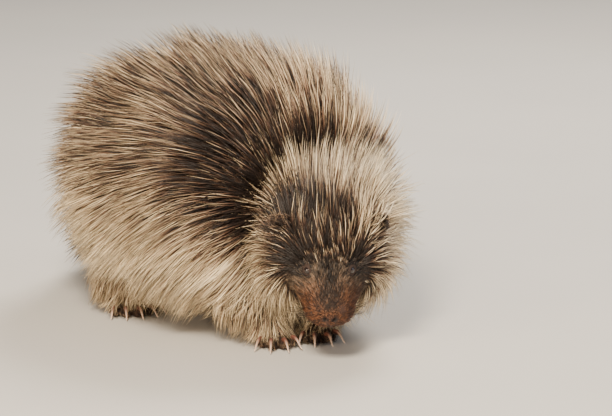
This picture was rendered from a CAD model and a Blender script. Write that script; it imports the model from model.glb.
# A life-size porcupine on a pale studio floor: one skin over the whole body, its coat in fine
# tufts of hair, quills on rump and tail, eyes, claws and whiskers, in metres.

import math

import bpy
import numpy as np
from mathutils import Matrix, Vector
from mathutils.bvhtree import BVHTree
from mathutils.kdtree import KDTree


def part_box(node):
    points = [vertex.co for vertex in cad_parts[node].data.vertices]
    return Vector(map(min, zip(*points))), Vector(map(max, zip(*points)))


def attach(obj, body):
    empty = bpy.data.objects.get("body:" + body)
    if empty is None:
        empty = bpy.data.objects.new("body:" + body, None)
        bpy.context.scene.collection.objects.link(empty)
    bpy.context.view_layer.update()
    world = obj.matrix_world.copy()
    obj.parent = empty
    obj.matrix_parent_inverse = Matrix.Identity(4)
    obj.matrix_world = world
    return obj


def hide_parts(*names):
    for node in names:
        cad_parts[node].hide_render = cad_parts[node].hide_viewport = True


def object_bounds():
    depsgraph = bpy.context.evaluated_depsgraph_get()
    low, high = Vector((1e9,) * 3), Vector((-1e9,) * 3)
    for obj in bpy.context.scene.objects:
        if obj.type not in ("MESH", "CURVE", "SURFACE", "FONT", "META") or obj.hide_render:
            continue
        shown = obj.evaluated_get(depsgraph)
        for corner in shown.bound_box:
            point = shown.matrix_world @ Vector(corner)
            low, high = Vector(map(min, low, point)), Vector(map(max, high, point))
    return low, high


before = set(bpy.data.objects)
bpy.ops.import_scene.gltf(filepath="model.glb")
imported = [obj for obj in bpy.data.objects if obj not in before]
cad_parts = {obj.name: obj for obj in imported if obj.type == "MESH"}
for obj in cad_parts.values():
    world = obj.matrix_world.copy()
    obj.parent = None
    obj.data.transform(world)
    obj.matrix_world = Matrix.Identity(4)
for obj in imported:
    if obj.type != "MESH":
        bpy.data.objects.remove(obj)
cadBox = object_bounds()
print("frame loaded")

# The body as the frame has it. Head: turned to the animal's right and bent down.
headYaw = math.radians(36.0)
headPitch = math.radians(42.0)
noseTip = np.array((-0.0617, -0.2613, 0.0570))
worldUp = np.array((0.0, 0.0, 1.0))
toNose = np.array(
    (
        -math.sin(headYaw) * math.cos(headPitch),
        -math.cos(headYaw) * math.cos(headPitch),
        -math.sin(headPitch),
    )
)
headUp = worldUp - toNose * toNose[2]
headUp = headUp / np.linalg.norm(headUp)
headLeft = np.cross(headUp, toNose)

# Stations of the body: x, y, z, half width, half height, depth of the coat on top, at the side, beneath.
tailStations = [
    (0.120, 0.318, 0.012, 0.008, 0.007, 0.006, 0.008, 0.002),
    (0.096, 0.315, 0.018, 0.016, 0.013, 0.008, 0.010, 0.003),
    (0.062, 0.302, 0.026, 0.023, 0.020, 0.010, 0.012, 0.004),
    (0.030, 0.272, 0.041, 0.029, 0.026, 0.014, 0.015, 0.006),
    (0.008, 0.233, 0.066, 0.037, 0.035, 0.022, 0.020, 0.010),
]
torsoStations = [
    (0.000, 0.180, 0.100, 0.054, 0.052, 0.038, 0.034, 0.016),
    (0.000, 0.155, 0.124, 0.083, 0.076, 0.054, 0.042, 0.022),
    (0.000, 0.120, 0.142, 0.104, 0.096, 0.064, 0.048, 0.024),
    (0.000, 0.074, 0.152, 0.117, 0.111, 0.066, 0.050, 0.024),
    (0.000, 0.022, 0.154, 0.121, 0.117, 0.065, 0.052, 0.024),
    (0.000, -0.031, 0.156, 0.116, 0.115, 0.064, 0.055, 0.028),
    (0.000, -0.085, 0.152, 0.104, 0.105, 0.064, 0.058, 0.030),
]
neckStations = [
    (0.006, -0.128, 0.143, 0.085, 0.087, 0.060, 0.052, 0.022),
    (0.007, -0.158, 0.131, 0.065, 0.066, 0.052, 0.046, 0.020),
]
# Stations of the head: distance from the nose, rise, half width, half height, and the coat's depths.
headStations = [
    (0.108, 0.000, 0.0470, 0.0460, 0.042, 0.032, 0.016),
    (0.089, 0.003, 0.0425, 0.0400, 0.028, 0.022, 0.012),
    (0.070, 0.004, 0.0385, 0.0375, 0.014, 0.013, 0.008),
    (0.054, 0.003, 0.0345, 0.0345, 0.006, 0.007, 0.004),
    (0.040, 0.001, 0.0305, 0.0310, 0.001, 0.002, 0.002),
    (0.027, -0.001, 0.0275, 0.0275, 0.000, 0.000, 0.000),
    (0.014, -0.001, 0.0235, 0.0230, 0.000, 0.000, 0.000),
    (0.004, -0.001, 0.0178, 0.0170, 0.000, 0.000, 0.000),
    (0.000, -0.001, 0.0095, 0.0090, 0.000, 0.000, 0.000),
]
# Brow, eye hollow, lip, nose, cheek, chin and jaw: distance from the nose, degrees from the top,
# spread along the head, spread round it in degrees, and height.
headForms = [
    (0.053, 26.0, 0.010, 20.0, 0.0028),
    (0.040, 42.0, 0.009, 20.0, -0.0024),
    (0.013, 118.0, 0.009, 26.0, 0.0028),
    (0.008, 0.0, 0.010, 40.0, 0.0016),
    (0.072, 100.0, 0.018, 34.0, 0.0045),
    (0.019, 152.0, 0.008, 16.0, -0.0010),
    (0.030, 180.0, 0.014, 30.0, 0.0022),
]
sectionSmoothing = (-1.2, -0.8, -0.4, 0.0, 0.4, 0.8, 1.2)
# How much of the coat's depth lies under the skin's surface, by place along the body: none on the
# trunk, and half on the face, where the coat is a few millimetres deep.
skinShare = ((0.0, 14.0, 15.5, 16.5, 30.0), (0.0, 0.0, 0.25, 0.5, 0.5))

# Levels of a leg from top to ankle: x, y, z, half width, half depth, its coat included.
foreLevels = [
    (0.055, -0.095, 0.120, 0.034, 0.040),
    (0.060, -0.100, 0.082, 0.032, 0.038),
    (0.055, -0.108, 0.054, 0.027, 0.031),
    (0.045, -0.114, 0.036, 0.021, 0.024),
    (0.040, -0.118, 0.025, 0.0185, 0.0200),
]
hindLevels = [
    (0.068, 0.095, 0.110, 0.044, 0.056),
    (0.078, 0.088, 0.076, 0.041, 0.052),
    (0.079, 0.098, 0.052, 0.033, 0.038),
    (0.075, 0.110, 0.036, 0.025, 0.027),
    (0.073, 0.115, 0.025, 0.0220, 0.0235),
]
# Feet: palm and toe in half sizes, how far ahead of the ankle they lie, the toes' spread in degrees,
# and the length of a claw.
foreFoot = {
    "toes": 4,
    "palm": (0.0195, 0.0270, 0.0140),
    "palmAhead": 0.010,
    "toeAhead": 0.031,
    "fan": 62.0,
    "toe": (0.0054, 0.0125, 0.0064),
    "claw": 0.026,
}
hindFoot = {
    "toes": 5,
    "palm": (0.0220, 0.0390, 0.0145),
    "palmAhead": 0.014,
    "toeAhead": 0.047,
    "fan": 62.0,
    "toe": (0.0058, 0.0135, 0.0066),
    "claw": 0.024,
}
# Each leg: side, levels, the ankle's x and y off its symmetric place with the foot's turn to the
# right in degrees, and its foot.
legs = {
    "foreleg_right": (-1, foreLevels, (0.0055, -0.0045, 30.0), foreFoot),
    "foreleg_left": (1, foreLevels, (-0.022, -0.012, 26.0), foreFoot),
    "hindleg_right": (-1, hindLevels, (0.000, 0.006, 16.0), hindFoot),
    "hindleg_left": (1, hindLevels, (0.000, -0.008, -8.0), hindFoot),
}


def unit(vectors):
    return vectors / np.maximum(np.linalg.norm(vectors, axis=-1, keepdims=True), 1e-12)


def headToBody(station):
    centre = noseTip - toNose * station[0] + headUp * station[1]
    return (*centre, *station[2:])


spine = np.array(tailStations + torsoStations + neckStations + [headToBody(s) for s in headStations])
headJoint = len(tailStations) + len(torsoStations) + len(neckStations)
noseEnd = len(spine) - 1
headBacks = [s[0] for s in headStations]


def splineAt(t):
    # smooth curve through the stations, and its rate
    i = np.clip(t.astype(int), 0, len(spine) - 2)
    f = (t - i)[:, None]
    b, c = spine[i], spine[i + 1]
    a = np.where((i == 0)[:, None], 2 * b - c, spine[np.maximum(i - 1, 0)])
    d = np.where((i == len(spine) - 2)[:, None], 2 * c - b, spine[np.minimum(i + 2, len(spine) - 1)])
    start, end = (c - a) / 2, (d - b) / 2
    value = (2 * f**3 - 3 * f**2 + 1) * b + (f**3 - 2 * f**2 + f) * start
    value = value + (3 * f**2 - 2 * f**3) * c + (f**3 - f**2) * end
    rate = (6 * f**2 - 6 * f) * (b - c) + (3 * f**2 - 4 * f + 1) * start + (3 * f**2 - 2 * f) * end
    return value, rate


def sectionAt(t):
    value = splineAt(t)[0]
    ahead = np.zeros((len(t), 3))
    for off in sectionSmoothing:
        ahead += unit(splineAt(np.clip(t + off, 0.0, noseEnd))[1][:, :3])
    ahead = unit(ahead)
    up = unit(worldUp - ahead * ahead[:, 2:3])
    return value, ahead, np.cross(up, ahead), up


def coatDepth(t, angle):
    top, side, under = splineAt(t)[0][:, 5:8].T
    share = np.cos(angle) ** 2
    return np.where(np.cos(angle) > 0, top, under) * share + side * (1 - share)


def backOf(t):
    return np.interp(t - headJoint, range(len(headBacks)), headBacks)


def headT(back):
    return headJoint + float(np.interp(back, headBacks[::-1], range(len(headBacks) - 1, -1, -1)))


def headForm(t, angle):
    back = backOf(t)
    degrees = np.abs(np.degrees(np.arctan2(np.sin(angle), np.cos(angle))))
    total = np.zeros(len(t))
    for formBack, formAngle, along, around, height in headForms:
        off = ((back - formBack) / along) ** 2 + ((degrees - formAngle) / around) ** 2
        total += height * np.exp(-off)
    return np.where(t < headJoint, 0.0, total)


def bodyPoint(t, angle, share=None):
    # a point of the skin, or with share=0.5 of the frame's own core
    t = np.atleast_1d(np.asarray(t, float))
    angle = np.broadcast_to(np.asarray(angle, float), t.shape)
    value, _, left, up = sectionAt(t)
    wide, high = value[:, 3], value[:, 4]
    nx, nz = np.sin(angle) / wide, np.cos(angle) / high
    size = np.hypot(nx, nz)
    share = np.interp(t, *skinShare) if share is None else share
    out = share * coatDepth(t, angle) + headForm(t, angle)
    across = wide * np.sin(angle) + nx / size * out
    upward = high * np.cos(angle) + nz / size * out
    return value[:, :3] + left * across[:, None] + up * upward[:, None] + shift


def surfaceAt(t, angle, share=None):
    # point, way out, and way back towards the tail
    point = bodyPoint(t, angle, share)
    along = bodyPoint(t + 0.02, angle, share) - bodyPoint(t - 0.02, angle, share)
    around = bodyPoint(t, angle + 0.02, share) - bodyPoint(t, angle - 0.02, share)
    out = unit(np.cross(around, along))
    centre = splineAt(np.atleast_1d(np.asarray(t, float)))[0][:, :3] + shift
    out = np.where(np.sum(out * (point - centre), axis=1, keepdims=True) < 0, -out, out)
    return point, out, -unit(along)


def placing(origin, across, out):
    # matrix with x along across and z along out
    z = Vector(out).normalized()
    x = Vector(across)
    x = (x - z * x.dot(z)).normalized()
    turn = Matrix((x, z.cross(x), z)).transposed().to_4x4()
    return Matrix.Translation(Vector(origin)) @ turn


def inPlace(place, points):
    # points in the own frame of a placing
    inverse = np.array(place.inverted())
    return points @ inverse[:3, :3].T + inverse[:3, 3]


def headPlace(back, degrees, side, depth=0.0):
    t = np.array([headT(back)])
    point, out, rear = surfaceAt(t, np.array([math.radians(degrees) * side]), 0.5)
    return placing(point[0] - out[0] * depth, rear[0], out[0])


def eyePlace(side):
    return headPlace(eye["back"], eye["angle"], side, eye["sunk"])


eye = {"back": 0.050, "angle": 43.0, "radius": 0.0052, "sunk": 0.0026}
nostril = {"aside": 0.0048, "up": 0.0022, "ahead": 0.0016, "size": (0.0034, 0.0020), "depth": 0.0052}
# How far the stations lie from the frame's own place, read from where its eye is.
shift = np.zeros(3)
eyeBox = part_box("eye_right")
shift = np.array((eyeBox[0] + eyeBox[1]) / 2) - np.array(eyePlace(-1).translation)
nose = noseTip + shift


def nostrilPlace(side):
    centre = nose + headLeft * side * nostril["aside"] + headUp * nostril["up"] + toNose * nostril["ahead"]
    return placing(centre, headUp + headLeft * side * 0.7, toNose + headLeft * side * 0.35)


eyeCentres = [np.array(headPlace(eye["back"], eye["angle"], side).translation) for side in (-1, 1)]
nostrilCentres = [np.array(nostrilPlace(side).translation) for side in (-1, 1)]


def awayFrom(points, centres):
    return np.min([np.linalg.norm(points - centre, axis=1) for centre in centres], axis=0)


print("body laid out, moved by", [round(v, 4) for v in shift])

# Camera: where it stands round the animal, in degrees, its distance and lens, and the point that it
# looks at.
view = {"turn": -38.0, "rise": 12.0, "distance": 4.0, "lens": 200.0, "aim": (0.0828, -0.0643, 0.126)}


def addCamera():
    turn, rise = math.radians(view["turn"]), math.radians(view["rise"])
    away = Vector((math.sin(turn) * math.cos(rise), -math.cos(turn) * math.cos(rise), math.sin(rise)))
    bpy.ops.object.camera_add(location=Vector(view["aim"]) + away * view["distance"])
    camera = bpy.context.object
    camera.name = "camera"
    camera.rotation_euler = (-away).to_track_quat("-Z", "Y").to_euler()
    camera.data.lens = view["lens"]
    camera.data.sensor_width = 36.0
    camera.data.clip_end = 50.0
    bpy.context.scene.camera = camera


# Lamps: place, size, power in watts, colour. A warm key from the upper left, a broad cool fill from
# the right, a low warm one from the left, and a high one from behind on the right.
lamps = {
    "key": {"place": (-1.9, -1.9, 2.2), "size": 0.7, "power": 225.0, "colour": "FFEFD8"},
    "fill": {"place": (1.6, -2.4, 1.2), "size": 2.2, "power": 18.0, "colour": "E4ECFF"},
    "low": {"place": (-2.8, -0.7, 0.7), "size": 0.8, "power": 62.0, "colour": "FFE6C8"},
    "rim": {"place": (1.7, 0.7, 2.3), "size": 1.2, "power": 105.0, "colour": "FFF6EA"},
}
studio = {
    "world": "C9CCD2",
    "worldPower": 0.45,
    "floor": "C6C2BB",
    "floorPatches": "CECAC3",
    "floorSize": 12.0,
    "aim": (0.0, 0.0, 0.15),
}


def linear(hexColour):
    # sRGB hex to linear
    channels = [int(hexColour[i : i + 2], 16) / 255 for i in (0, 2, 4)]
    return tuple(c / 12.92 if c <= 0.04045 else ((c + 0.055) / 1.055) ** 2.4 for c in channels) + (1.0,)


def addNode(tree, kind, settings=None, inputs=None, links=None):
    # one shader node with its settings, its inputs' values and what feeds them
    node = tree.nodes.new(kind)
    for name, value in (settings or {}).items():
        setattr(node, name, value)
    for name, value in (inputs or {}).items():
        node.inputs[name].default_value = value
    for name, source in (links or {}).items():
        tree.links.new(source, node.inputs[name])
    return node


def newMaterial(name):
    material = bpy.data.materials.new(name)
    material.use_nodes = True
    tree = material.node_tree
    shader = tree.nodes["Principled BSDF"]
    return material, tree, shader


def mixColours(tree, factor, first, second):
    # factor is a socket, first and second are hex colours or sockets
    node = addNode(tree, "ShaderNodeMix", {"data_type": "RGBA"})
    tree.links.new(factor, node.inputs["Factor"])
    for socket, colour in ((node.inputs[6], first), (node.inputs[7], second)):
        if isinstance(colour, str):
            socket.default_value = linear(colour)
        else:
            tree.links.new(colour, socket)
    return node.outputs[2]


def attribute(tree, name):
    return addNode(tree, "ShaderNodeAttribute", {"attribute_name": name}).outputs["Fac"]


def rescale(tree, value, low, high, newLow=0.0, newHigh=1.0):
    node = addNode(tree, "ShaderNodeMapRange", None, {1: low, 2: high, 3: newLow, 4: newHigh}, {0: value})
    return node.outputs[0]


def math2(tree, operation, first, second):
    node = addNode(tree, "ShaderNodeMath", {"operation": operation})
    for socket, value in zip(node.inputs, (first, second)):
        if isinstance(value, (int, float)):
            socket.default_value = value
        else:
            tree.links.new(value, socket)
    return node.outputs[0]


def noise(tree, scale, detail=2.0):
    place = addNode(tree, "ShaderNodeTexCoord").outputs["Object"]
    node = addNode(tree, "ShaderNodeTexNoise", None, {"Scale": scale, "Detail": detail}, {"Vector": place})
    return node.outputs[0]


def setSurface(tree, shader, colour, roughness, indexOfRefraction=None):
    tree.links.new(colour, shader.inputs["Base Color"])
    shader.inputs["Roughness"].default_value = roughness
    if indexOfRefraction:
        shader.inputs["IOR"].default_value = indexOfRefraction


def dimmed(tree, colour, tone, darkest, lightest):
    # the colour made darker or lighter by the tuft's own tone
    dim = rescale(tree, tone, 0.0, 1.0, darkest, lightest)
    scaled = addNode(tree, "ShaderNodeVectorMath", {"operation": "SCALE"}, None, {0: colour, "Scale": dim})
    return scaled.outputs[0]


hair = {
    "base": "21160F",  # the hair near its root, nearly black brown
    "middle": "74503A",  # reddish band
    "tip": "EACFA6",  # straw tip
    "brightTip": "F6E3BE",
    "roughness": 0.48,
    "IOR": 1.55,  # keratin
}


def hairMaterial(name, base, middle, tip, brightTip, span=0.44):
    # Guard hair: keratin, dark at the root and straw at the tip, with a soft gloss.
    # The point where it turns light lies nearer the root where the mark is high.
    material, tree, shader = newMaterial(name)
    along, tone, mark = (attribute(tree, n) for n in ("along", "tone", "mark"))
    start = rescale(tree, mark, 0.0, 1.0, 0.86, 0.10)
    share = math2(tree, "DIVIDE", math2(tree, "SUBTRACT", along, start), span)
    first = rescale(tree, share, 0.0, 0.45)
    second = rescale(tree, share, 0.30, 1.0)
    blondTone = rescale(tree, tone, 0.35, 1.0, 0.0, 0.7)
    blondMark = rescale(tree, mark, 0.7, 1.0, 0.0, 0.6)
    bright = mixColours(tree, math2(tree, "ADD", blondTone, blondMark), tip, brightTip)
    colour = mixColours(tree, second, mixColours(tree, first, base, middle), bright)
    setSurface(tree, shader, dimmed(tree, colour, tone, 0.42, 1.30), hair["roughness"], hair["IOR"])
    return material


def skinMaterial():
    # Hide with short close hair: soft and dull, its colours those of the coat's roots over it.
    material, tree, shader = newMaterial("shortHairedHide")
    warm, dark, pad = (attribute(tree, n) for n in ("warm", "dark", "pad"))
    grain = noise(tree, 900.0, 3.0)
    coat = mixColours(tree, rescale(tree, noise(tree, 90.0), 0.3, 0.7), "34251D", "4C3628")
    muzzle = mixColours(tree, rescale(tree, grain, 0.35, 0.65), "2E1B12", "4A2D1E")
    colour = mixColours(tree, warm, coat, muzzle)
    colour = mixColours(tree, dark, colour, "2A1C15")
    colour = mixColours(tree, rescale(tree, pad, 0.25, 0.6), colour, "0D0706")
    tree.links.new(colour, shader.inputs["Base Color"])
    rough = rescale(tree, pad, 0.0, 1.0, 0.85, 0.50)
    tree.links.new(rough, shader.inputs["Roughness"])
    bump = addNode(tree, "ShaderNodeBump", None, {"Strength": 0.5, "Distance": 0.0006}, {"Height": grain})
    tree.links.new(bump.outputs[0], shader.inputs["Normal"])
    return material


def eyeMaterial():
    # Wet eye: near black brown iris, clear and very glossy over it.
    material, tree, shader = newMaterial("wetEye")
    colour = mixColours(tree, noise(tree, 1400.0, 3.0), "0B0706", "24140C")
    setSurface(tree, shader, colour, 0.06, 1.376)  # the cornea's index
    shader.inputs["Coat Weight"].default_value = 1.0
    shader.inputs["Coat Roughness"].default_value = 0.02
    return material


def clawMaterial():
    # Claw: grown horn, dark reddish brown at the root and paler at the worn tip, half glossy.
    material, tree, shader = newMaterial("claw")
    along = attribute(tree, "along")
    root = mixColours(tree, noise(tree, 700.0, 4.0), "452820", "7A5044")
    colour = mixColours(tree, rescale(tree, along, 0.45, 1.0), root, "D8BCA2")
    setSurface(tree, shader, colour, 0.34, hair["IOR"])
    return material


def floorMaterial():
    # Studio floor: matt pale grey paint with faint patches.
    material, tree, shader = newMaterial("floor")
    setSurface(tree, shader, mixColours(tree, noise(tree, 3.0), studio["floor"], studio["floorPatches"]), 0.8)
    return material


def addStudio():
    bpy.ops.mesh.primitive_plane_add(size=studio["floorSize"])
    floor = bpy.context.object
    floor.name = "floor"
    floor.data.materials.append(floorMaterial())
    for name, lamp in lamps.items():
        bpy.ops.object.light_add(type="AREA", location=lamp["place"])
        light = bpy.context.object
        light.name = name
        light.data.size = lamp["size"]
        light.data.energy = lamp["power"]
        light.data.color = linear(lamp["colour"])[:3]
        aim = Vector(studio["aim"]) - Vector(lamp["place"])
        light.rotation_euler = aim.to_track_quat("-Z", "Y").to_euler()
    world = bpy.data.worlds.new("studio")
    bpy.context.scene.world = world
    world.use_nodes = True
    background = world.node_tree.nodes["Background"]
    background.inputs[0].default_value = linear(studio["world"])
    background.inputs[1].default_value = studio["worldPower"]


def deselectAll():
    bpy.ops.object.select_all(action="DESELECT")


def only(piece):
    deselectAll()
    piece.select_set(True)
    bpy.context.view_layer.objects.active = piece


def showMesh(name, mesh):
    piece = bpy.data.objects.new(name, mesh)
    bpy.context.scene.collection.objects.link(piece)
    return piece


def meshPiece(name, points, faces):
    mesh = bpy.data.meshes.new(name)
    mesh.from_pydata([tuple(p) for p in points], [], faces)
    return showMesh(name, mesh)


def vectorsOf(elements, kind="co"):
    # places, centres or normals of a mesh's vertices or polygons, one row each
    values = np.empty(len(elements) * 3)
    elements.foreach_get(kind, values)
    return values.reshape(-1, 3)


def applyModifier(piece, kind, **settings):
    only(piece)
    step = piece.modifiers.new(kind, kind)
    for name, value in settings.items():
        setattr(step, name, value)
    bpy.ops.object.modifier_apply(modifier=step.name)


def loft(name, rings):
    # closed shape through rings of equal count
    count = len(rings[0])
    points = [p for ring in rings for p in ring]
    faces = []
    for i in range(len(rings) - 1):
        for j in range(count):
            k = (j + 1) % count
            faces.append((i * count + j, i * count + k, (i + 1) * count + k, (i + 1) * count + j))
    faces.append(tuple(range(count)))
    faces.append(tuple((len(rings) - 1) * count + j for j in range(count)))
    piece = meshPiece(name, points, faces)
    outwards(piece)
    return piece


def outwards(piece):
    only(piece)
    bpy.ops.object.mode_set(mode="EDIT")
    bpy.ops.mesh.select_all(action="SELECT")
    bpy.ops.mesh.normals_make_consistent(inside=False)
    bpy.ops.object.mode_set(mode="OBJECT")


def ball(name, place, sizes, segments=24, rings=16):
    bpy.ops.mesh.primitive_uv_sphere_add(segments=segments, ring_count=rings, radius=1.0)
    piece = bpy.context.object
    piece.name = name
    piece.data.transform(place @ Matrix.Diagonal((*sizes, 1.0)))
    return piece


def join(pieces, name):
    deselectAll()
    for piece in pieces:
        piece.select_set(True)
    bpy.context.view_layer.objects.active = pieces[0]
    bpy.ops.object.join()
    pieces[0].name = name
    return pieces[0]


def setAttribute(mesh, name, values):
    made = mesh.attributes.new(name, "FLOAT", "POINT")
    made.data.foreach_set("value", np.asarray(values, np.float32))


# The skin: how finely it is remade, in metres, the share of its faces kept away from the head, and the
# rounded end of the nose, as metres ahead and share of the last ring's size.
skin = {
    "voxel": 0.0013,
    "bodyShare": 0.27,
    "rings": 150,
    "segments": 96,
    "noseEnd": ((0.0011, 0.90), (0.0020, 0.70), (0.0026, 0.40)),
}
ear = {
    "back": 0.095,
    "angle": 50.0,
    "lift": 0.0060,
    "cup": (0.0125, 0.0062, 0.0165),
    "hollow": (0.0092, 0.0046, 0.0090),
    "ahead": 0.0041,
    "up": 0.0045,
}


def bodyLoft():
    rings = []
    angles = np.arange(skin["segments"]) * 2 * math.pi / skin["segments"]
    for t in np.linspace(0.0, noseEnd, skin["rings"]):
        rings.append(bodyPoint(np.full(len(angles), t), angles))
    last = rings[-1]
    middle = last.mean(axis=0)
    for ahead, share in skin["noseEnd"]:
        rings.append(middle + (last - middle) * share + toNose * ahead)
    return loft("trunk", rings)


def earPlace(side):
    place = headPlace(ear["back"], ear["angle"], side)
    turn = place.to_3x3()
    out, sideways = turn @ Vector((0, 0, 1)), turn @ Vector((0, 1, 0))
    fromNose = place.translation - Vector(nose)
    if sideways.dot(fromNose - Vector(toNose) * Vector(toNose).dot(fromNose)) < 0:
        sideways = -sideways
    facing = (Vector(toNose) + sideways * 0.35).normalized()
    return placing(place.translation + out * ear["lift"], out.cross(facing), out), facing


def earCup(side):
    place, facing = earPlace(side)
    cup = ball("earCup", place, ear["cup"], 32, 20)
    forward = math.copysign(ear["ahead"], (place.to_3x3().inverted() @ facing).y)
    hollow = ball("earHollow", place @ Matrix.Translation((0.0, forward, ear["up"])), ear["hollow"], 32, 20)
    applyModifier(cup, "BOOLEAN", operation="DIFFERENCE", object=hollow, solver="EXACT")
    bpy.data.objects.remove(hollow, do_unlink=True)
    return cup


def footPlace(leg):
    side, levels, stance, _ = legs[leg]
    ankle = levels[-1]
    turn = Matrix.Rotation(math.radians(-stance[2]), 4, "Z")
    place = Vector((side * ankle[0] + stance[0] + shift[0], ankle[1] + stance[1] + shift[1], 0.0))
    return Matrix.Translation(place) @ turn


def legCentre(leg, z):
    # centre and half sizes of a leg at a height, its coat included
    side, levels, stance, _ = legs[leg]
    zs = [level[2] for level in levels][::-1]
    x, y, wide, deep = (np.interp(z, zs, [level[k] for level in levels][::-1]) for k in (0, 1, 3, 4))
    share = (levels[0][2] - z) / (levels[0][2] - levels[-1][2])
    return side * x + stance[0] * share + shift[0], y + stance[1] * share + shift[1], wide, deep


# The flesh of a leg: its share of the outline with the coat, above and at the ankle, and its loft.
legSkin = {"share": 0.80, "ankleShare": 0.94, "bottom": 0.012, "rings": 24, "segments": 32}


def legLoft(leg):
    levels = legs[leg][1]
    rings = []
    segments = legSkin["segments"]
    angles = np.arange(segments) * 2 * math.pi / segments
    for z in np.linspace(levels[0][2], legSkin["bottom"], legSkin["rings"]):
        x, y, wide, deep = legCentre(leg, max(z, levels[-1][2]))
        share = np.interp(z, (0.025, 0.05), (legSkin["ankleShare"], legSkin["share"]))
        across, along = wide * share * np.cos(angles), deep * share * np.sin(angles)
        rings.append(np.stack([x + across, y + along, np.full(segments, z)], 1))
    return loft(leg + "Flesh", rings)


# Toes: height, and how far the outer ones stand back. Knuckle: place ahead as a share of the toe,
# lift, width as a share of the toe, and its other half sizes. Palm: height of its middle.
toe = {"height": 0.0058, "outerBack": 0.010}
knuckle = {"ahead": 0.55, "lift": 0.0006, "width": 0.92, "size": (0.0062, 0.0056)}
palmHeight = 0.0095


def toePlaces(leg):
    foot = legs[leg][3]
    place = footPlace(leg)
    for i in range(foot["toes"]):
        share = i / (foot["toes"] - 1) - 0.5
        fan = Matrix.Rotation(math.radians(foot["fan"]) * share, 4, "Z")
        reach = foot["toeAhead"] - toe["outerBack"] * abs(share) ** 1.5 * 2
        yield place @ fan @ Matrix.Translation((0, -reach, toe["height"]))


def footFlesh(leg):
    foot = legs[leg][3]
    place = footPlace(leg)
    pieces = [ball("palm", place @ Matrix.Translation((0, -foot["palmAhead"], palmHeight)), foot["palm"])]
    wide, long, _ = foot["toe"]
    for toePlace in toePlaces(leg):
        pieces.append(ball("toe", toePlace, foot["toe"], 20, 12))
        bend = toePlace @ Matrix.Translation((0, -long * knuckle["ahead"], knuckle["lift"]))
        pieces.append(ball("knuckle", bend, (wide * knuckle["width"], *knuckle["size"]), 16, 10))
    return pieces


def inHead(points):
    # distance from the nose, height and way to the left, in the head's own frame
    off = points - nose
    return -off @ toNose, off @ headUp, off @ headLeft


# Lids: thickness, how far behind the eye's middle they still reach, half sizes of the opening, and how
# deep the socket lies under the eye's surface and bends up at its edge.
lids = {"thickness": 0.0013, "behind": 0.004, "opening": (0.0050, 0.0038), "deep": 0.0028, "bend": 0.002}
# Half of the mouth, and the groove above it: distance from the nose and degrees from the top.
halfMouth = [(0.0290, 133.0), (0.0170, 144.0), (0.0100, 160.0)]
mouth = [(b, -a) for b, a in halfMouth] + [(0.0080, 180.0)] + halfMouth[::-1]
philtrum = [(0.0012, 180.0), (0.0042, 180.0), (0.0078, 180.0)]
grooves = ((mouth, 0.0012, 0.0022), (philtrum, 0.0009, 0.0013))  # each one's line, width and depth


def shapeFace(piece):
    # lids, nostrils, mouth line and philtrum, pressed into the skin's points
    mesh = piece.data
    points, normals = vectorsOf(mesh.vertices), vectorsOf(mesh.vertices, "normal")
    near = np.where(inHead(points)[0] < 0.09)[0]
    for side in (-1, 1):
        place = eyePlace(side)
        local = inPlace(place, points[near])
        flat = np.hypot(local[:, 0], local[:, 1])
        lidRadius = eye["radius"] + lids["thickness"]
        dome = np.sqrt(np.maximum(lidRadius**2 - flat**2, 0.0))
        above = local[:, 2] > -lids["behind"]
        lid = above & (flat < lidRadius)
        local[lid, 2] = np.maximum(local[lid, 2], dome[lid])
        opening = np.hypot(local[:, 0] / lids["opening"][0], local[:, 1] / lids["opening"][1])
        inside = above & (opening < 1.0)
        socket = eye["radius"] - lids["deep"] + lids["bend"] * opening[inside] ** 4
        local[inside, 2] = np.minimum(local[inside, 2], socket)
        turn = np.array(place)
        points[near] = local @ turn[:3, :3].T + turn[:3, 3]
        local = inPlace(nostrilPlace(side), points[near])
        far = np.hypot(local[:, 0] / nostril["size"][0], local[:, 1] / nostril["size"][1])
        depth = nostril["depth"] * np.exp(-(far**2)) * (np.abs(local[:, 2]) < 0.007)
        points[near] -= normals[near] * depth[:, None]
    for line, width, depth in grooves:
        along = np.concatenate([bodyPoint(np.array([headT(b)]), math.radians(a)) for b, a in line])
        distance = np.full(len(near), 1.0)
        for a, b in zip(along, along[1:]):
            f = np.clip(((points[near] - a) @ (b - a)) / ((b - a) @ (b - a)), 0, 1)
            distance = np.minimum(distance, np.linalg.norm(points[near] - a - f[:, None] * (b - a), axis=1))
        points[near] -= normals[near] * (depth * np.exp(-((distance / width) ** 2)))[:, None]
    mesh.vertices.foreach_set("co", points.reshape(-1))
    mesh.update()


def marks(points):
    # the animal's markings at points of its skin: warm muzzle, dark places, bare nose
    back, height, left = inHead(points)
    around = np.abs(np.degrees(np.arctan2(left, height)))
    beside = np.hypot(height, left)
    front = np.clip((0.042 - back) / 0.026, 0, 1) * (beside < 0.05) * (back > -0.01)
    bridge = np.exp(-((around / 34.0) ** 2)) * np.clip(back / 0.004, 0, 1)
    warm = front * (1 - 0.5 * bridge)
    eyes = np.exp(-((awayFrom(points, [c - toNose * 0.003 for c in eyeCentres]) / 0.021) ** 2))
    dark = np.maximum(eyes, 0.85 * bridge * (back < 0.07) * (beside < 0.05))
    pad = np.exp(-((awayFrom(points, nostrilCentres) / 0.0038) ** 2))
    return warm, dark, pad


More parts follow.
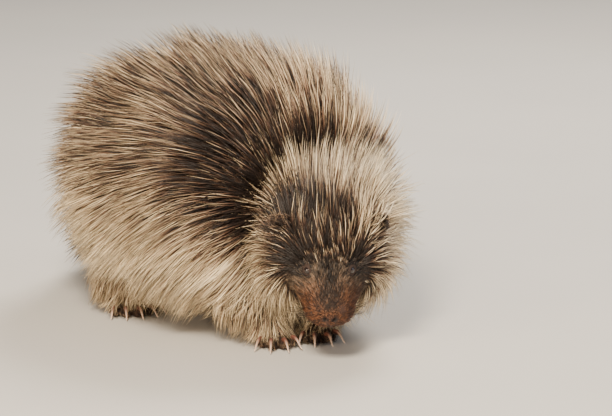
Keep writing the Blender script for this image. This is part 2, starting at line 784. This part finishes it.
def makeSkin():
    pieces = [bodyLoft()]
    for side in (-1, 1):
        pieces.append(earCup(side))
    for leg in legs:
        pieces.append(legLoft(leg))
        pieces += footFlesh(leg)
    piece = join(pieces, "skin")
    applyModifier(piece, "REMESH", mode="VOXEL", voxel_size=skin["voxel"], adaptivity=0.0)
    applyModifier(piece, "SMOOTH", factor=0.5, iterations=4)
    print("skin remade,", len(piece.data.polygons), "faces")
    points = vectorsOf(piece.data.vertices)
    back = inHead(points)[0]
    body = piece.vertex_groups.new(name="body")
    far = np.clip((back - 0.080) / 0.03, 0, 1) * np.clip((points[:, 2] - 0.02) / 0.02, 0, 1)
    for weight in (0.5, 1.0):
        body.add(np.where(far > weight - 0.25)[0].tolist(), weight, "REPLACE")
    thinning = {"ratio": skin["bodyShare"], "vertex_group": "body", "use_collapse_triangulate": True}
    applyModifier(piece, "DECIMATE", **thinning)
    points = vectorsOf(piece.data.vertices)
    points[:, 2] = np.maximum(points[:, 2], 0.0)  # the soles stand on the floor
    piece.data.vertices.foreach_set("co", points.reshape(-1))
    shapeFace(piece)
    piece.vertex_groups.clear()
    for name, values in zip(("warm", "dark", "pad"), marks(vectorsOf(piece.data.vertices))):
        setAttribute(piece.data, name, values)
    only(piece)
    bpy.ops.object.shade_smooth()
    piece.data.materials.append(skinMaterial())
    print("skin made,", len(piece.data.polygons), "faces")
    return piece


# The coat. Each part: where it starts and ends along the body, tufts, their width in metres, how far
# round the skin it reaches in degrees from the top, and the bends of a tuft.
usualPart = {"width": 0.00102, "reach": 172.0, "steps": 4}
coatParts = {
    "coatRump": {"start": 5.0, "end": 6.9, "tufts": 6200},
    "coatLoin": {"start": 6.9, "end": 8.1, "tufts": 7000},
    "coatBack": {"start": 8.1, "end": 9.3, "tufts": 7200},
    "coatShoulder": {"start": 9.3, "end": 10.5, "tufts": 7400},
    "coatBreast": {"start": 10.5, "end": 11.8, "tufts": 7400, "width": 0.00100},
    "coatNeck": {"start": 11.8, "end": 13.9, "tufts": 7400},
    "coatHead": {"start": 13.9, "end": 17.35, "tufts": 9000, "width": 0.00082, "reach": 178.0, "steps": 3},
    "coatTail": {"start": 0.15, "end": 5.1, "tufts": 3000, "width": 0.00115, "reach": 165.0},
}
# How much the hair hangs, against lying back: by degrees from the top, and by place along the body.
hang = ((0.0, 40.0, 80.0, 110.0, 150.0), (0.0, 0.15, 0.55, 0.85, 0.60))
hangAlong = ((5.0, 8.0, 10.5, 13.5, 15.0, 17.0), (0.6, 1.0, 1.7, 1.6, 2.4, 2.8))
# Height of the hem over the floor, by place along the body.
hem = ((0.0, 4.0, 5.0, 7.5, 9.5, 10.8, 11.6, 14.0), (0.003, 0.024, 0.034, 0.024, 0.018, 0.006, 0.006, 0.016))
# A guard hair's length: this much and this share of the coat's depth, and how far it reaches out.
guardHair = {"least": 0.030, "share": 1.25, "reach": 1.10, "shortPart": 0.50}
# Hair of the crown: length in metres by place along the body, and rise by degrees from the top.
crownLength = ((13.4, 14.2, 15.0, 16.0, 16.6, 17.0, 17.4), (0.0, 0.090, 0.080, 0.062, 0.044, 0.026, 0.013))
crownRise = ((0.0, 50.0, 100.0, 140.0, 180.0), (48.0, 42.0, 36.0, 26.0, 18.0))
# Width of a tuft from root to tip, as shares.
tuftProfile = ((0.0, 0.25, 0.6, 1.0), (0.7, 1.0, 0.8, 0.1))
# Clumps: tufts in each, how strongly and how far off they draw together, and how their tones differ.
clumps = {"tuftsEach": 9, "pull": 0.75, "range": 0.05, "tone": 0.22}
# Places where the hair parts and shows its dark roots: place along the body, degrees from the top
# towards the left, radius in metres, and how much darker, or below zero how much lighter.
partings = [
    (11.9, -52.0, 0.046, 0.44),
    (12.6, 22.0, 0.045, -0.36),
    (8.8, -112.0, 0.090, -0.26),
    (15.0, -46.0, 0.016, 0.70),
    (15.0, 46.0, 0.012, 0.35),
    (14.3, 68.0, 0.045, -0.30),
    (15.4, -20.0, 0.013, 0.50),
    (15.4, 20.0, 0.010, 0.40),
    (16.7, 0.0, 0.026, 0.50),
    (17.1, -50.0, 0.016, 0.80),
    (17.1, 50.0, 0.015, 0.80),
    (16.6, -110.0, 0.030, -0.20),
    (16.2, -62.0, 0.028, 0.42),
    (16.2, 62.0, 0.018, 0.08),
    (9.2, -70.0, 0.060, 0.22),
]
coatSeed = 7
triesEach = 8  # places drawn for each tuft that is kept


def sampleBody(start, end, reach, count, draw):
    # places on the skin, spread by its area, thinner under the belly
    t = draw.uniform(start, end, count * triesEach)
    angle = draw.uniform(-math.radians(reach), math.radians(reach), len(t))
    along = bodyPoint(t + 0.02, angle) - bodyPoint(t - 0.02, angle)
    around = bodyPoint(t, angle + 0.02) - bodyPoint(t, angle - 0.02)
    area = np.linalg.norm(np.cross(along, around), axis=1)
    area *= np.interp(np.abs(np.degrees(angle)), (0, 120, 150, 180), (1.0, 1.0, 0.5, 0.3))
    kept = draw.uniform(0, 1, len(t)) < area / np.quantile(area, 0.98)
    t, angle = t[kept][:count], angle[kept][:count]
    if len(t) < count:
        print("only", len(t), "places of", count)
    return t, angle


def growPaths(lie, bodyTree):
    # lines of the hairs: they leave the skin, bend back along it and stay clear of it
    out, flow, length, steps = lie["out"], lie["flow"], lie["length"], lie["steps"]
    point, upward = lie["root"].copy(), out.copy()
    points = [point.copy()]
    for k in range(1, steps + 1):
        f = k / steps
        rise = (lie["rise"] * (1.3 - 0.6 * f))[:, None]
        ahead = unit(flow - upward * np.sum(flow * upward, axis=1, keepdims=True))
        point = point + (ahead * np.cos(rise) + upward * np.sin(rise)) * (length / steps)[:, None]
        least = 0.0006 + 0.010 * f * np.minimum(length / 0.09, 1.0)
        nearOut = np.empty_like(point)
        for i, spot in enumerate(point):
            place, normal, _, distance = bodyTree.find_nearest(spot)
            height = distance if (Vector(spot) - place).dot(normal) >= 0 else -distance
            nearOut[i] = normal
            if height < least[i]:
                point[i] += np.array(normal) * (least[i] - height)
        point[:, 2] = np.maximum(point[:, 2], lie["floor"])
        points.append(point.copy())
        upward = unit(out + nearOut)
    return np.stack(points, 1)


def keepInBox(paths, box):
    # draws a hair back towards its root where it would leave the frame's box
    low, high = np.array(box[0]), np.array(box[1])
    low[2] = 0.0005
    root = paths[:, :1]
    off = paths - root
    with np.errstate(divide="ignore", invalid="ignore"):
        most = np.where(off > 0, (high - root) / off, np.where(off < 0, (low - root) / off, np.inf))
    share = np.clip(np.nanmin(most, axis=(1, 2)), 0.2, 1.0)
    return root + off * share[:, None, None]


def gather(paths, root, draw):
    # the tips of a clump's tufts draw together; gives the paths and each tuft's clump
    count, steps = paths.shape[0], paths.shape[1] - 1
    chosen = draw.permutation(count)[: max(8, count // clumps["tuftsEach"])]
    tree = KDTree(len(chosen))
    for number, index in enumerate(chosen):
        tree.insert(root[index], number)
    tree.balance()
    clump = np.array([tree.find(p)[1] for p in root])
    lead = paths[chosen][clump]
    middle = lead + (root - root[chosen][clump])[:, None, :] * 0.35
    apart = np.linalg.norm(paths - lead, axis=2, keepdims=True)
    same = np.clip(1 - apart / clumps["range"], 0, 1)
    share = (np.arange(steps + 1) / steps)[None, :, None] ** 1.4 * clumps["pull"]
    return paths + (middle - paths) * share * same, clump, len(chosen)


def tuftMesh(name, paths, out, look):
    # three-sided tapering tufts along the paths, as one mesh
    count, steps = paths.shape[0], paths.shape[1] - 1
    along = np.empty_like(paths)
    along[:, 1:-1] = paths[:, 2:] - paths[:, :-2]
    along[:, 0] = paths[:, 1] - paths[:, 0]
    along[:, -1] = paths[:, -1] - paths[:, -2]
    along = unit(along)
    side = unit(np.cross(along, out[:, None, :]))
    up = np.cross(side, along)
    f = np.arange(steps) / steps
    half = (look["width"][:, None] / 2 * np.interp(f, *look.get("profile", tuftProfile)))[:, :, None]
    rings = np.stack([-side[:, :-1] * half, side[:, :-1] * half, up[:, :-1] * half * 1.3], 2)
    rings = rings + paths[:, :-1, None, :] - up[:, :-1, None, :] * half[..., None] * 0.4
    each = steps * 3 + 1
    points = np.concatenate([rings.reshape(count, steps * 3, 3), paths[:, -1:]], 1)
    points[:, :, 2] = np.maximum(points[:, :, 2], 0.0002)
    faces = [(0, 2, 1)]
    for k in range(steps - 1):
        for j in range(3):
            a, b = k * 3 + j, k * 3 + (j + 1) % 3
            faces += [(a, b, b + 3), (a, b + 3, a + 3)]
    last = (steps - 1) * 3
    faces += [(last + j, last + (j + 1) % 3, each - 1) for j in range(3)]
    allFaces = (np.array(faces)[None] + (np.arange(count) * each)[:, None, None]).reshape(-1, 3)
    mesh = bpy.data.meshes.new(name)
    mesh.vertices.add(count * each)
    mesh.vertices.foreach_set("co", points.reshape(-1))
    mesh.loops.add(len(allFaces) * 3)
    mesh.loops.foreach_set("vertex_index", allFaces.reshape(-1).astype(np.int32))
    mesh.polygons.add(len(allFaces))
    mesh.polygons.foreach_set("loop_start", np.arange(len(allFaces), dtype=np.int32) * 3)
    mesh.update(calc_edges=True)
    mesh.polygons.foreach_set("use_smooth", np.ones(len(allFaces), bool))
    share = np.append(np.repeat(f, 3), 1.0)
    setAttribute(mesh, "along", np.tile(share, count))
    for key in ("tone", "mark", "warm"):
        if key in look:
            setAttribute(mesh, key, np.repeat(look[key], each))
    patch = 0.003  # each tuft's patch on the unwrap of the skin
    within = np.stack([np.append(np.tile((0.0, 1.0, 0.5), steps), 0.5), share], 1) - 0.5
    uv = np.clip(look["unwrap"], 0, 1)[:, None, :] * (1 - patch) + patch / 2 + within[None] * patch
    layer = mesh.uv_layers.new(name="OFBake")
    layer.data.foreach_set("uv", uv.reshape(-1, 2)[allFaces.reshape(-1)].reshape(-1))
    return showMesh(name, mesh)


def addTufts(name, material, lie, look, bodyTree, draw, clumped=True):
    # grows one piece of coat and hands it to the frame
    paths = growPaths(lie, bodyTree)
    if clumped:
        paths, clump, number = gather(paths, lie["root"], draw)
        look["tone"] = np.clip(look["tone"] + clumps["tone"] * draw.normal(size=number)[clump], 0, 1)
    piece = tuftMesh(name, keepInBox(paths, cadBox), lie["out"], look)
    piece.data.materials.append(material)
    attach(piece, "root")
    print(name, "grown,", len(piece.data.polygons), "triangles")
    return piece


def noiseField(points, scale, draw):
    # smooth random field: a few waves of random ways
    total = np.zeros(len(points))
    for _ in range(6):
        wave = unit(draw.normal(size=3)) * draw.uniform(0.6, 1.6) * 2 * math.pi / scale
        total += np.sin(points @ wave + draw.uniform(0, 2 * math.pi))
    return total / 6**0.5


def unwrapAt(angle, share):
    # a tuft's place on the unwrap: round the body, and its share of the way along it
    return np.stack([angle / (2 * math.pi) + 0.5, share], 1)


def hangDown(out):
    return -worldUp + out * out[:, 2:3]


def coatMark(t, angle, point):
    # how light the hair is: most on the lower flanks and ruff, least along the back
    degrees = np.abs(np.degrees(angle))
    light = np.interp(degrees, (0, 35, 65, 95, 150, 180), (0.38, 0.38, 0.48, 0.90, 0.74, 0.30))
    onHead = np.interp(degrees, (0, 25, 45, 110, 145, 180), (0.56, 0.68, 0.98, 0.98, 0.72, 0.25))
    light = light + (onHead - light) * np.clip((t - 12.8) / 1.0, 0, 1)
    for placeT, degreesRound, radius, amount in partings:
        centre = bodyPoint(np.array([placeT]), math.radians(degreesRound))[0]
        light = light - amount * np.exp(-((np.linalg.norm(point - centre, axis=1) / radius) ** 2))
    return light


def growCoat(name, part, bodyTree, draw):
    t, angle = sampleBody(part["start"], part["end"], part["reach"], part["tufts"], draw)
    point, out, rear = surfaceAt(t, angle)
    free = awayFrom(point, eyeCentres) > 0.0105
    free &= (t < 16.75) | (np.abs(np.degrees(angle)) < 72)  # the cheeks' own hair starts there
    t, angle, point, out, rear = (a[free] for a in (t, angle, point, out, rear))
    count = len(t)
    degrees = np.abs(np.degrees(angle))
    hangs = np.interp(degrees, *hang) * np.interp(t, *hangAlong)
    sway = noiseField(point, 0.09, draw) * 0.15 + noiseField(point, 0.03, draw) * 0.07
    flow = rear + hangDown(out) * hangs[:, None] + np.cross(out, rear) * sway[:, None]
    flow = unit(flow + draw.normal(size=(count, 3)) * 0.105)
    depth = coatDepth(t, angle)
    short = draw.uniform(0, 1, count) < guardHair["shortPart"]
    length = guardHair["least"] + guardHair["share"] * depth
    rise = np.arcsin(np.clip(guardHair["reach"] * depth / length, 0.18, 0.85))
    onHead = np.clip((t - 13.4) / 0.8, 0, 1)
    length = np.maximum(length, np.interp(t, *crownLength) * onHead)
    length = np.where(t > 15.5, np.minimum(length, np.interp(t, *crownLength)), length)
    length = length * (1 + 0.30 * onHead * np.interp(degrees, (80, 110, 150, 175), (0, 1, 1, 0)))
    rise = rise + (np.radians(np.interp(degrees, *crownRise)) - rise) * onHead
    rise = rise * (1 + 0.18 * noiseField(point, 0.05, draw) + 0.12 * draw.normal(size=count))
    length = length * np.where(short, draw.uniform(0.45, 0.75, count), draw.uniform(0.84, 1.12, count))
    lie = {
        "root": point - out * 0.0012,
        "out": out,
        "flow": flow,
        "length": length,
        "rise": rise,
        "floor": np.interp(t, *hem) + draw.uniform(0.0, 0.006, count),
        "steps": part["steps"],
    }
    mark = coatMark(t, angle, point) + 0.10 * noiseField(point, 0.05, draw)
    mark = mark + (0.20 + 0.10 * onHead) * draw.normal(size=count)
    look = {
        "width": part["width"] * draw.uniform(0.75, 1.25, count),
        "tone": 0.5 + 0.32 * draw.normal(size=count),
        "mark": np.clip(np.where(short, mark * 0.35, mark), 0, 1),
        "unwrap": unwrapAt(angle, (t - part["start"]) / (part["end"] - part["start"])),
    }
    addTufts(name, guardHairMaterial, lie, look, bodyTree, draw)


# Hair of the legs: tufts, width, lowest root, rise in degrees, and length by height over the floor.
legHair = {
    "tufts": 1500,
    "width": 0.0010,
    "lowest": 0.024,
    "rise": 17.0,
    "length": ((0.024, 0.045, 0.09), (0.030, 0.052, 0.072)),
}


def growLegHair(leg, bodyTree, draw):
    levels = legs[leg][1]
    count = legHair["tufts"]
    top, bottom = levels[0][2], legHair["lowest"]
    z = draw.uniform(bottom, top * 0.9, count)
    angle = draw.uniform(-math.pi, math.pi, count)
    x, y, wide, deep = legCentre(leg, z)
    out = unit(np.stack([np.cos(angle) / wide, np.sin(angle) / deep, np.zeros(count)], 1))
    share = legSkin["share"]
    root = np.stack([x + wide * share * np.cos(angle), y + deep * share * np.sin(angle), z], 1)
    lie = {
        "root": root,
        "out": out,
        "flow": unit(-worldUp + np.array((0, 0.25, 0)) + draw.normal(size=(count, 3)) * 0.12),
        "length": np.interp(z, *legHair["length"]) * draw.uniform(0.7, 1.15, count),
        "rise": math.radians(legHair["rise"]) * draw.uniform(0.6, 1.5, count),
        "floor": draw.uniform(0.002, 0.010, count),
        "steps": 3,
    }
    look = {
        "width": legHair["width"] * draw.uniform(0.75, 1.25, count),
        "tone": 0.5 + 0.22 * draw.normal(size=count),
        "mark": np.clip(0.72 + 0.2 * draw.normal(size=count), 0, 1),
        "unwrap": unwrapAt(angle, (z - bottom) / (top - bottom)),
    }
    addTufts("coat_" + leg, guardHairMaterial, lie, look, bodyTree, draw)


# Face hair: tufts, where it starts along the body, by distance from the nose its length, width and
# rise in degrees, and by degrees from the top how much it hangs.
faceHair = {
    "tufts": 17000,
    "start": 16.1,
    "length": (
        (0.002, 0.010, 0.025, 0.040, 0.055, 0.072),
        (0.0042, 0.0078, 0.0130, 0.0185, 0.0265, 0.0310),
    ),
    "width": ((0.0, 0.03, 0.07), (0.00052, 0.00072, 0.00092)),
    "rise": ((0.0, 0.03, 0.07), (26.0, 27.0, 28.0)),
    "hang": ((0.0, 60.0, 120.0, 180.0), (0.0, 0.45, 0.60, 0.15)),
}


def growFaceHair(bodyTree, draw):
    t, angle = sampleBody(faceHair["start"], noseEnd - 0.10, 180.0, faceHair["tufts"], draw)
    point, out, rear = surfaceAt(t, angle)
    toEye = awayFrom(point, eyeCentres)
    free = (toEye > 0.0064) & (awayFrom(point, nostrilCentres) > 0.0040)
    t, angle, point, out, rear, toEye = (a[free] for a in (t, angle, point, out, rear, toEye))
    back = backOf(t)
    count = len(t)
    degrees = np.abs(np.degrees(angle))
    hangs = np.interp(degrees, *faceHair["hang"])
    topShare = np.interp(degrees, (0, 35, 70), (0.6, 0.75, 1.0))  # shorter between the eyes
    nearEye = np.clip((toEye - 0.004) / 0.016, 0.18, 1.0)
    lie = {
        "root": point - out * 0.0005,
        "out": out,
        "flow": unit(rear + hangDown(out) * hangs[:, None] + draw.normal(size=(count, 3)) * 0.10),
        "length": np.interp(back, *faceHair["length"]) * topShare * nearEye * draw.uniform(0.7, 1.2, count),
        "rise": np.radians(np.interp(back, *faceHair["rise"])) * draw.uniform(0.6, 1.3, count),
        "floor": np.full(count, 0.001),
        "steps": 2,
    }
    warm, dark, _ = marks(point)
    look = {
        "width": np.interp(back, *faceHair["width"]) * draw.uniform(0.8, 1.2, count),
        "tone": 0.34 + 0.36 * draw.normal(size=count) + 0.34 * noiseField(point, 0.012, draw),
        "mark": np.clip(0.80 - 0.85 * dark + 0.22 * draw.normal(size=count), 0, 1),
        "warm": np.clip(warm + 0.12 * draw.normal(size=count), 0, 1),
        "unwrap": unwrapAt(angle, (t - faceHair["start"]) / (noseEnd - faceHair["start"])),
    }
    addTufts("faceHair", faceHairMaterial, lie, look, bodyTree, draw)


def placesOn(piece, wanted, count, draw):
    # places and ways out on the faces of a piece whose centre and normal pass a test
    faces = piece.data.polygons
    centre, normal = vectorsOf(faces, "center"), vectorsOf(faces, "normal")
    area = np.empty(len(faces))
    faces.foreach_get("area", area)
    fit = np.where(wanted(centre, normal))[0]
    chosen = draw.choice(fit, count, p=area[fit] / area[fit].sum())
    jitter = draw.normal(size=(count, 3)) * 0.0004
    out = normal[chosen]
    return centre[chosen] + jitter - out * np.sum(jitter * out, 1, keepdims=True), out


# Short hair of ears, nose and feet: slot, tufts each, length and width in metres, rise in degrees, and
# how light and how warm it is.
earHair = {"slot": "ears", "tufts": 1200, "length": 0.013, "width": 0.0006, "rise": 22.0}
earHair.update(mark=0.16, warm=0.0)
noseHair = {"slot": "face", "tufts": 460, "length": 0.0024, "width": 0.00055, "rise": 24.0}
noseHair.update(mark=0.7, warm=0.9)
footHair = {"slot": "paws", "tufts": 1000, "length": 0.0120, "width": 0.0007, "rise": 20.0}
footHair.update(mark=0.30, warm=0.0)


def growShortHair(name, kind, material, spots, flow, unwrap, bodyTree, draw):
    # spots are the places and the ways out
    point, out = spots
    count = len(point)
    lie = {
        "root": point - out * 0.0004,
        "out": out,
        "flow": unit(flow + draw.normal(size=(count, 3)) * 0.15),
        "length": kind["length"] * draw.uniform(0.6, 1.25, count),
        "rise": math.radians(kind["rise"]) * draw.uniform(0.6, 1.5, count),
        "floor": np.full(count, 0.0008),
        "steps": 2,
    }
    look = {
        "width": kind["width"] * draw.uniform(0.8, 1.2, count),
        "tone": 0.5 + 0.22 * draw.normal(size=count),
        "mark": np.clip(kind["mark"] + 0.12 * draw.normal(size=count), 0, 1),
        "warm": np.full(count, kind["warm"]),
        "unwrap": unwrap,
    }
    addTufts(name, material, lie, look, bodyTree, draw)


def growEarHair(word, side, skinPiece, bodyTree, draw):
    place = earPlace(side)[0]

    def onEar(centre, normal):
        local = inPlace(place, centre)
        near = (local / (np.array(ear["cup"]) * 1.12)) ** 2
        return (near.sum(1) < 1.0) & (local[:, 2] > -0.004)

    spots = placesOn(skinPiece, onEar, earHair["tufts"], draw)
    local = inPlace(place, spots[0])
    flow = np.array(place.to_3x3() @ Vector((0, 0, 1))) + headUp * 0.3 - toNose * 0.6
    unwrap = unwrapAt(np.arctan2(local[:, 1], local[:, 0]), local[:, 2] / 0.036 + 0.5)
    growShortHair("earHair_" + word, earHair, guardHairMaterial, spots, flow, unwrap, bodyTree, draw)


def growFootHair(leg, skinPiece, bodyTree, draw):
    place = footPlace(leg)
    foot = legs[leg][3]

    def onFoot(centre, normal):
        local = inPlace(place, centre)
        reach = foot["toeAhead"] + foot["toe"][1]
        near = (np.abs(local[:, 0]) < 0.040) & (local[:, 1] < 0.035) & (local[:, 1] > -reach - 0.004)
        return near & (local[:, 2] < 0.032) & (local[:, 2] > 0.003) & (normal[:, 2] > -0.05)

    spots = placesOn(skinPiece, onFoot, footHair["tufts"], draw)
    local = inPlace(place, spots[0])
    flow = np.array(place.to_3x3() @ Vector((0, -1, -0.35)))
    unwrap = np.stack([local[:, 0] / 0.08 + 0.5, local[:, 1] / 0.12 + 0.6], 1)
    growShortHair("footHair_" + leg, footHair, guardHairMaterial, spots, flow, unwrap, bodyTree, draw)


def growNoseHair(skinPiece, bodyTree, draw):
    # the nose's front, round the nostrils
    def onNose(centre, normal):
        back, height, left = inHead(centre)
        near = (back < 0.0022) & (np.hypot(height, left) < 0.02)
        return near & (awayFrom(centre, nostrilCentres) > 0.0038)

    spots = placesOn(skinPiece, onNose, noseHair["tufts"], draw)
    _, height, left = inHead(spots[0])
    flow = unit(np.stack([left, height + 0.002], 1)) @ np.stack([headLeft, headUp])
    unwrap = np.stack([left / 0.03 + 0.5, height / 0.03 + 0.5], 1)
    growShortHair("noseHair", noseHair, faceHairMaterial, spots, flow, unwrap, bodyTree, draw)


# Quills of tail and rump, stiff and hollow: where they start and end along the body, reach round it
# in degrees, number, length and width in metres, rise in degrees, and width from root to tip.
quill = {
    "start": 0.4,
    "end": 6.9,
    "reach": 112.0,
    "number": 1300,
    "length": (0.040, 0.066),
    "width": 0.0019,
    "rise": 40.0,
    "profile": ((0.0, 0.2, 0.66, 1.0), (0.55, 1.0, 0.85, 0.1)),
}


def growQuills(bodyTree, draw):
    t, angle = sampleBody(quill["start"], quill["end"], quill["reach"], quill["number"], draw)
    point, out, rear = surfaceAt(t, angle)
    count = len(t)
    lie = {
        "root": point - out * 0.0015,
        "out": out,
        "flow": unit(rear + hangDown(out) * 0.25 + draw.normal(size=(count, 3)) * 0.14),
        "length": draw.uniform(*quill["length"], count) * np.interp(t, (0.4, 2.0, 5.0), (0.55, 0.8, 1.0)),
        "rise": math.radians(quill["rise"]) * draw.uniform(0.7, 1.4, count),
        "floor": np.full(count, 0.003),
        "steps": 3,
    }
    look = {
        "width": quill["width"] * draw.uniform(0.8, 1.15, count),
        "profile": quill["profile"],
        "tone": 0.5 + 0.2 * draw.normal(size=count),
        "mark": draw.uniform(0.3, 1.0, count),
        "unwrap": unwrapAt(angle, (t - quill["start"]) / (quill["end"] - quill["start"])),
    }
    addTufts("quills", quillMaterial(), lie, look, bodyTree, draw, clumped=False)


# Whiskers: number, length and width in metres, and the ranges of their distance from the nose, of
# degrees from the top, and of their rise in degrees.
whisker = {
    "eachSide": 13,
    "length": (0.024, 0.044),
    "width": 0.00042,
    "back": (0.009, 0.026),
    "around": (88, 128),
    "rise": (32, 55),
}


def growWhiskers(bodyTree, draw):
    count = whisker["eachSide"] * 2
    side = np.where(np.arange(count) % 2 == 0, -1.0, 1.0)
    back = draw.uniform(*whisker["back"], count)
    t = np.array([headT(b) for b in back])
    angle = np.radians(draw.uniform(*whisker["around"], count)) * side
    point, out, rear = surfaceAt(t, angle)
    lie = {
        "root": point - out * 0.001,
        "out": out,
        "flow": unit(rear + hangDown(out) * 0.5 + draw.normal(size=(count, 3)) * 0.1),
        "length": draw.uniform(*whisker["length"], count),
        "rise": np.radians(draw.uniform(*whisker["rise"], count)),
        "floor": np.full(count, 0.002),
        "steps": 8,
    }
    look = {
        "width": np.full(count, whisker["width"]),
        "tone": np.full(count, 0.4),
        "mark": np.full(count, 0.05),
        "unwrap": unwrapAt(angle, back / 0.03),
    }
    addTufts("whiskers", guardHairMaterial, lie, look, bodyTree, draw, clumped=False)


def faceMaterial():
    # Short face hair: orange brown on the muzzle, grey brown on cheeks and brow.
    material, tree, shader = newMaterial("faceHair")
    along, tone, mark, warm = (attribute(tree, n) for n in ("along", "tone", "mark", "warm"))
    grey = mixColours(tree, along, "241813", "A58D74")
    orange = mixColours(tree, along, "180D08", "935B36")
    colour = mixColours(tree, warm, grey, orange)
    colour = mixColours(tree, rescale(tree, mark, 0.0, 0.7, 1.0, 0.0), colour, "120B09")
    setSurface(tree, shader, dimmed(tree, colour, tone, 0.30, 1.35), 0.55, hair["IOR"])
    return material


def quillMaterial():
    # Quill: hollow keratin, waxy cream shaft with a sharp dark tip, glossier than hair.
    material, tree, shader = newMaterial("quill")
    along, tone, mark = (attribute(tree, n) for n in ("along", "tone", "mark"))
    start = rescale(tree, mark, 0.0, 1.0, 0.35, 0.60)
    share = rescale(tree, math2(tree, "SUBTRACT", along, start), 0.0, 0.18)
    shaft = mixColours(tree, tone, "CDBB97", "EFE4C8")
    setSurface(tree, shader, mixColours(tree, share, shaft, "33241B"), 0.32, hair["IOR"])
    return material


def makeEye(word, side):
    piece = ball("eyeball_" + word, eyePlace(side), (eye["radius"],) * 3, 48, 32)
    only(piece)
    bpy.ops.object.shade_smooth()
    piece.data.materials.append(wetEye)
    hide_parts("eye_" + word)
    return piece


clawShape = {"steps": 14, "sides": 12, "radius": 0.0034, "taper": 0.86, "narrow": 0.8, "height": 0.0042}


def makeClaws(leg):
    # long curved claws, a tapering oval bar each
    foot = legs[leg][3]
    points, faces, shares = [], [], []
    steps, sides = clawShape["steps"], clawShape["sides"]
    for toePlace in toePlaces(leg):
        start = len(points)
        for k in range(steps + 1):
            f = k / steps
            ahead = foot["toe"][1] * 0.45 + foot["claw"] * (f - 0.10 * f * f)
            rise = clawShape["height"] + 0.0040 * math.sin(math.pi * min(f * 1.15, 1.0)) - 0.0080 * f**2.2
            radius = clawShape["radius"] * (1 - clawShape["taper"] * f**1.5)
            for j in range(sides):
                turn = 2 * math.pi * j / sides
                off = Vector((math.cos(turn) * radius * clawShape["narrow"], 0.0, math.sin(turn) * radius))
                spot = toePlace @ (Vector((0.0, -ahead, rise)) + off)
                points.append((spot.x, spot.y, max(spot.z, 0.0002)))
                shares.append(f)
        for k in range(steps):
            for j in range(sides):
                a, b = start + k * sides + j, start + k * sides + (j + 1) % sides
                faces.append((a, b, b + sides, a + sides))
        faces.append(tuple(start + j for j in range(sides)))
        faces.append(tuple(start + steps * sides + j for j in range(sides)))
    piece = meshPiece("claws_" + leg, points, faces)
    setAttribute(piece.data, "along", shares)
    outwards(piece)
    bpy.ops.object.shade_smooth()
    piece.data.materials.append(horn)
    return piece


addCamera()
addStudio()
print("camera and studio set")

skinPiece = makeSkin()
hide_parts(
    "torso", "neck", "head", "tail", "ear_left", "ear_right", *legs,
    "forefoot_left", "forefoot_right", "hindfoot_left", "hindfoot_right",
)
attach(skinPiece, "root")
skinTree = BVHTree.FromObject(skinPiece, bpy.context.evaluated_depsgraph_get())

guardHairMaterial = hairMaterial("guardHair", hair["base"], hair["middle"], hair["tip"], hair["brightTip"])
faceHairMaterial = faceMaterial()
draw = np.random.default_rng(coatSeed)
for name, part in coatParts.items():
    growCoat(name, {**usualPart, **part}, skinTree, draw)
for leg in legs:
    growLegHair(leg, skinTree, draw)
    growFootHair(leg, skinPiece, skinTree, draw)
for word, side in (("right", -1), ("left", 1)):
    growEarHair(word, side, skinPiece, skinTree, draw)
growFaceHair(skinTree, draw)
growNoseHair(skinPiece, skinTree, draw)
growQuills(skinTree, draw)
growWhiskers(skinTree, draw)

wetEye = eyeMaterial()
horn = clawMaterial()
for word, side in (("right", -1), ("left", 1)):
    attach(makeEye(word, side), "root")
for leg in legs:
    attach(makeClaws(leg), "root")
print("eyes and claws made")
